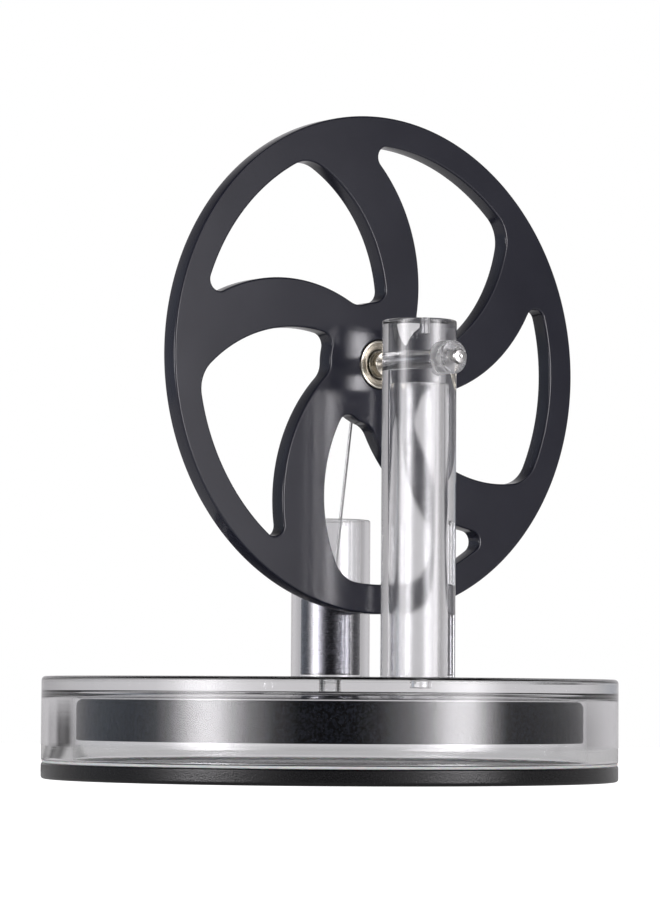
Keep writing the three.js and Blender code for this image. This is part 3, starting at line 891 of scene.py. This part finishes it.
def floor():
    bm = bmesh.new()
    bmesh.ops.create_circle(bm, cap_ends=True, cap_tris=False, segments=96, radius=FLOOR_R)
    obj = finish(bm, "floor")
    s = Surface("floor_paper")
    tooth = s.noise(2.0, 3, 0.5)
    side = []
    for way in (RIGHT, TO_CAMERA):
        n = s.node("ShaderNodeVectorMath", operation="DOT_PRODUCT")
        s.feed(n.inputs[0], s.space)
        n.inputs[1].default_value = way
        side.append(n.outputs["Value"])
    turn = s.math("ARCTAN2", *side)
    # Painted shade: the far left stretch of the paper is turned dark in its colour and in its faint glow.
    edges = [(-152, 1.0), (-147, 0.04), (-136, 0.04), (-130, 1.0)]
    shade = s.ramp(s.span(turn, -math.pi, math.pi), *((share_of_turn(deg), v) for deg, v in edges))
    paper = s.mix(tooth, (0.42, 0.402, 0.409), (0.46, 0.441, 0.449))
    s.set(Base_Color=s.mix(shade, (0.02, 0.02, 0.02), paper))
    s.set(Roughness=s.span(tooth, 0.3, 0.7, 0.8, 0.95))
    # The paper is exposed to pure white where it is seen directly.
    out = s.tree.nodes["Material Output"]
    seen = s.node("ShaderNodeLightPath").outputs["Is Camera Ray"]
    glow = s.node("ShaderNodeEmission")
    # The faint glow that other rays see is dimmed by the same painted shade.
    lit = s.math("MULTIPLY", shade, 0.34)
    s.feed(glow.inputs["Strength"], s.math("MAXIMUM", s.math("MULTIPLY", seen, 1.12), lit))
    both = s.node("ShaderNodeAddShader")
    s.feed(both.inputs[0], s.bsdf.outputs[0])
    s.feed(both.inputs[1], glow.outputs[0])
    s.feed(out.inputs["Surface"], both.outputs[0])
    obj.data.materials.append(s.mat)


def bearing_vector(angle, elevation=0.0):
    """Direction at an angle to the right of the camera's side, seen from the object."""
    a, e = math.radians(angle), math.radians(elevation)
    level = TO_CAMERA * math.cos(a) + RIGHT * math.sin(a)
    return level * math.cos(e) + Vector((0, 0, math.sin(e)))


def softbox(name, angle, elevation, distance, width, height, radiance, centre_z=0.04):
    data = bpy.data.lights.new(name, "AREA")
    data.shape = "RECTANGLE"
    data.size, data.size_y = width, height
    data.energy = radiance * math.pi * width * height
    lamp = bpy.data.objects.new(name, data)
    way = bearing_vector(angle, elevation)
    lamp.location = way * distance + Vector((0, 0, centre_z))
    lamp.rotation_mode = "QUATERNION"
    lamp.rotation_quaternion = way.to_track_quat("Z", "Y")
    bpy.context.scene.collection.objects.link(lamp)
    lamp.visible_camera = False


def studio():
    world = bpy.data.worlds.new("studio")
    bpy.context.scene.world = world
    world.use_nodes = True
    tree = world.node_tree
    back = tree.nodes["Background"]
    coord = tree.nodes.new("ShaderNodeTexCoord").outputs["Generated"]

    def dot(v):
        n = tree.nodes.new("ShaderNodeVectorMath")
        n.operation = "DOT_PRODUCT"
        tree.links.new(coord, n.inputs[0])
        n.inputs[1].default_value = v
        return n.outputs["Value"]

    turn = tree.nodes.new("ShaderNodeMath")
    turn.operation = "ARCTAN2"
    tree.links.new(dot(RIGHT), turn.inputs[0])
    tree.links.new(dot(TO_CAMERA), turn.inputs[1])
    share = tree.nodes.new("ShaderNodeMapRange")
    share.inputs["From Min"].default_value = -math.pi
    share.inputs["From Max"].default_value = math.pi
    tree.links.new(turn.outputs[0], share.inputs["Value"])
    tinted = lambda v: (v * 1.005, v * 0.982, v * 1.01)

    def ramp_of(value, stops, place, paint):
        ramp = tree.nodes.new("ShaderNodeValToRGB")
        e = ramp.color_ramp.elements
        while len(e) < len(stops):
            e.new(0.5)
        for el, (at, v) in zip(e, stops):
            el.position = place(at)
            el.color = (*paint(v), 1)
        tree.links.new(value, ramp.inputs[0])
        return ramp.outputs[0]

    # Daylight from the left is a little bluer.
    cool, plain = (0.9, 1.0, 1.1), (1, 1, 1)
    blue = [(-180, plain), (-125, plain), (-108, cool), (-78, cool), (-62, plain)]
    tone = ramp_of(share.outputs[0], blue, share_of_turn, lambda v: v)
    round_the_set = lambda stops: ramp_of(share.outputs[0], stops, share_of_turn, tinted)
    rise = tree.nodes.new("ShaderNodeMapRange")
    rise.inputs["From Min"].default_value = -1.0
    tree.links.new(dot((0, 0, 1)), rise.inputs["Value"])
    upward = lambda stops: ramp_of(rise.outputs[0], stops, lambda z: z / 2 + 0.5, lambda v: (v, v, v))

    # Stops round the set are (degrees to the right of the camera's side, brightness), and upward ones
    # (height of the direction, factor). Paper stands behind the part, a dark room in front and overhead.
    room = round_the_set([
        (-180, 0.62), (-160, 0.58), (-150, 0.53), (-132, 0.46), (-110, 0.38), (-85, 0.38), (-50, 0.28),
        (-28, 0.14), (-14, 0.04), (0, 0.02), (14, 0.04), (28, 0.14), (50, 0.3), (67, 1.0), (71, 0.66),
        (74, 0.38), (84, 0.28), (95, 0.33), (115, 0.40), (137, 0.46), (150, 0.53), (165, 0.6), (180, 0.62),
    ])
    aloft = round_the_set([
        (-180, 0.62), (-155, 0.56), (-140, 0.42), (-110, 0.36), (-85, 0.22), (-28, 0.08), (0, 0.02),
        (40, 0.08), (65, 0.26), (76, 0.12), (95, 0.12), (115, 0.34), (140, 0.46), (155, 0.56), (180, 0.62),
    ])
    # A dark strip low down behind the left side.
    strip = round_the_set([
        (-180, 0.62), (-152, 0.5), (-147, 0.02), (-137, 0.02), (-132, 0.42), (-110, 0.36), (-85, 0.36),
        (-28, 0.14), (0, 0.02), (28, 0.14), (50, 0.3), (67, 1.0), (71, 0.66), (74, 0.38), (84, 0.24),
        (137, 0.36), (150, 0.5), (165, 0.6), (180, 0.62),
    ])
    # One tall diffused light on each side, with soft borders.
    lights = round_the_set([
        (-84, 0.0), (-72, 0.5), (-64, 3.4), (-56, 9.8), (-48, 11.5), (-41, 6.5), (-33, 2.5), (-22, 0.5),
        (-12, 0.0), (10, 0.0), (20, 0.3), (33, 1.7), (41, 4.2), (49, 9.5), (57, 10.8), (65, 4.4), (70, 1.2),
        (73, 0.2), (78, 0.0), (100, 0.0),
    ])
    reach = upward([
        (-0.16, 0.0), (-0.04, 0.85), (0.05, 1.0), (0.15, 1.0), (0.23, 0.1), (0.75, 0.06), (0.92, 0.0),
    ])
    overhead = upward([(-1.0, 1.0), (0.4, 1.0), (0.75, 0.16), (1.0, 0.08)])
    lift = upward([(0.0, 0.0), (0.09, 1.0)])
    above = upward([(-0.008, 0.0), (-0.003, 1.0)])

    def blend(kind, a, b):
        n = tree.nodes.new("ShaderNodeMix")
        n.data_type, n.blend_type = "RGBA", kind
        n.inputs[0].default_value = 1.0
        tree.links.new(a, n.inputs[6])
        tree.links.new(b, n.inputs[7])
        return n.outputs[2]

    def between(fac, a, b):
        n = tree.nodes.new("ShaderNodeMix")
        n.data_type = "RGBA"
        for value, socket in ((fac, n.inputs[0]), (a, n.inputs[6]), (b, n.inputs[7])):
            if isinstance(value, bpy.types.NodeSocket):
                tree.links.new(value, socket)
            else:
                socket.default_value = value
        return n.outputs[2]

    walls = blend("MULTIPLY", between(lift, between(above, strip, room), aloft), tone)
    around = blend("ADD", blend("MULTIPLY", walls, overhead), blend("MULTIPLY", lights, reach))
    seen = tree.nodes.new("ShaderNodeLightPath").outputs["Is Camera Ray"]
    tree.links.new(between(seen, around, (1, 1, 1, 1)), back.inputs["Color"])
    back.inputs["Strength"].default_value = 1.0
    softbox("softbox_top", 180, 70, 0.8, 0.5, 0.3, 0.8)


def camera():
    data = bpy.data.cameras.new("camera")
    data.lens = 153.07
    data.sensor_width = 36.0
    data.clip_start, data.clip_end = 0.01, 20.0
    cam = bpy.data.objects.new("camera", data)
    forward = -TO_CAMERA * math.cos(CAMERA_PITCH) + Vector((0, 0, math.sin(CAMERA_PITCH)))
    up = RIGHT.cross(forward)
    right = RIGHT * math.cos(CAMERA_ROLL) + up * math.sin(CAMERA_ROLL)
    up = up * math.cos(CAMERA_ROLL) - RIGHT * math.sin(CAMERA_ROLL)
    spot = (RIGHT * CAMERA_ASIDE + TO_CAMERA * CAMERA_BACK + Vector((0, 0, CAMERA_UP))) * MM
    cam.matrix_world = Matrix.Translation(spot) @ Matrix((right, up, -forward)).transposed().to_4x4()
    bpy.context.scene.collection.objects.link(cam)
    bpy.context.scene.camera = cam


floor()
studio()
camera()
bpy.context.scene.view_settings.view_transform = "Standard"
bpy.context.scene.view_settings.look = "None"
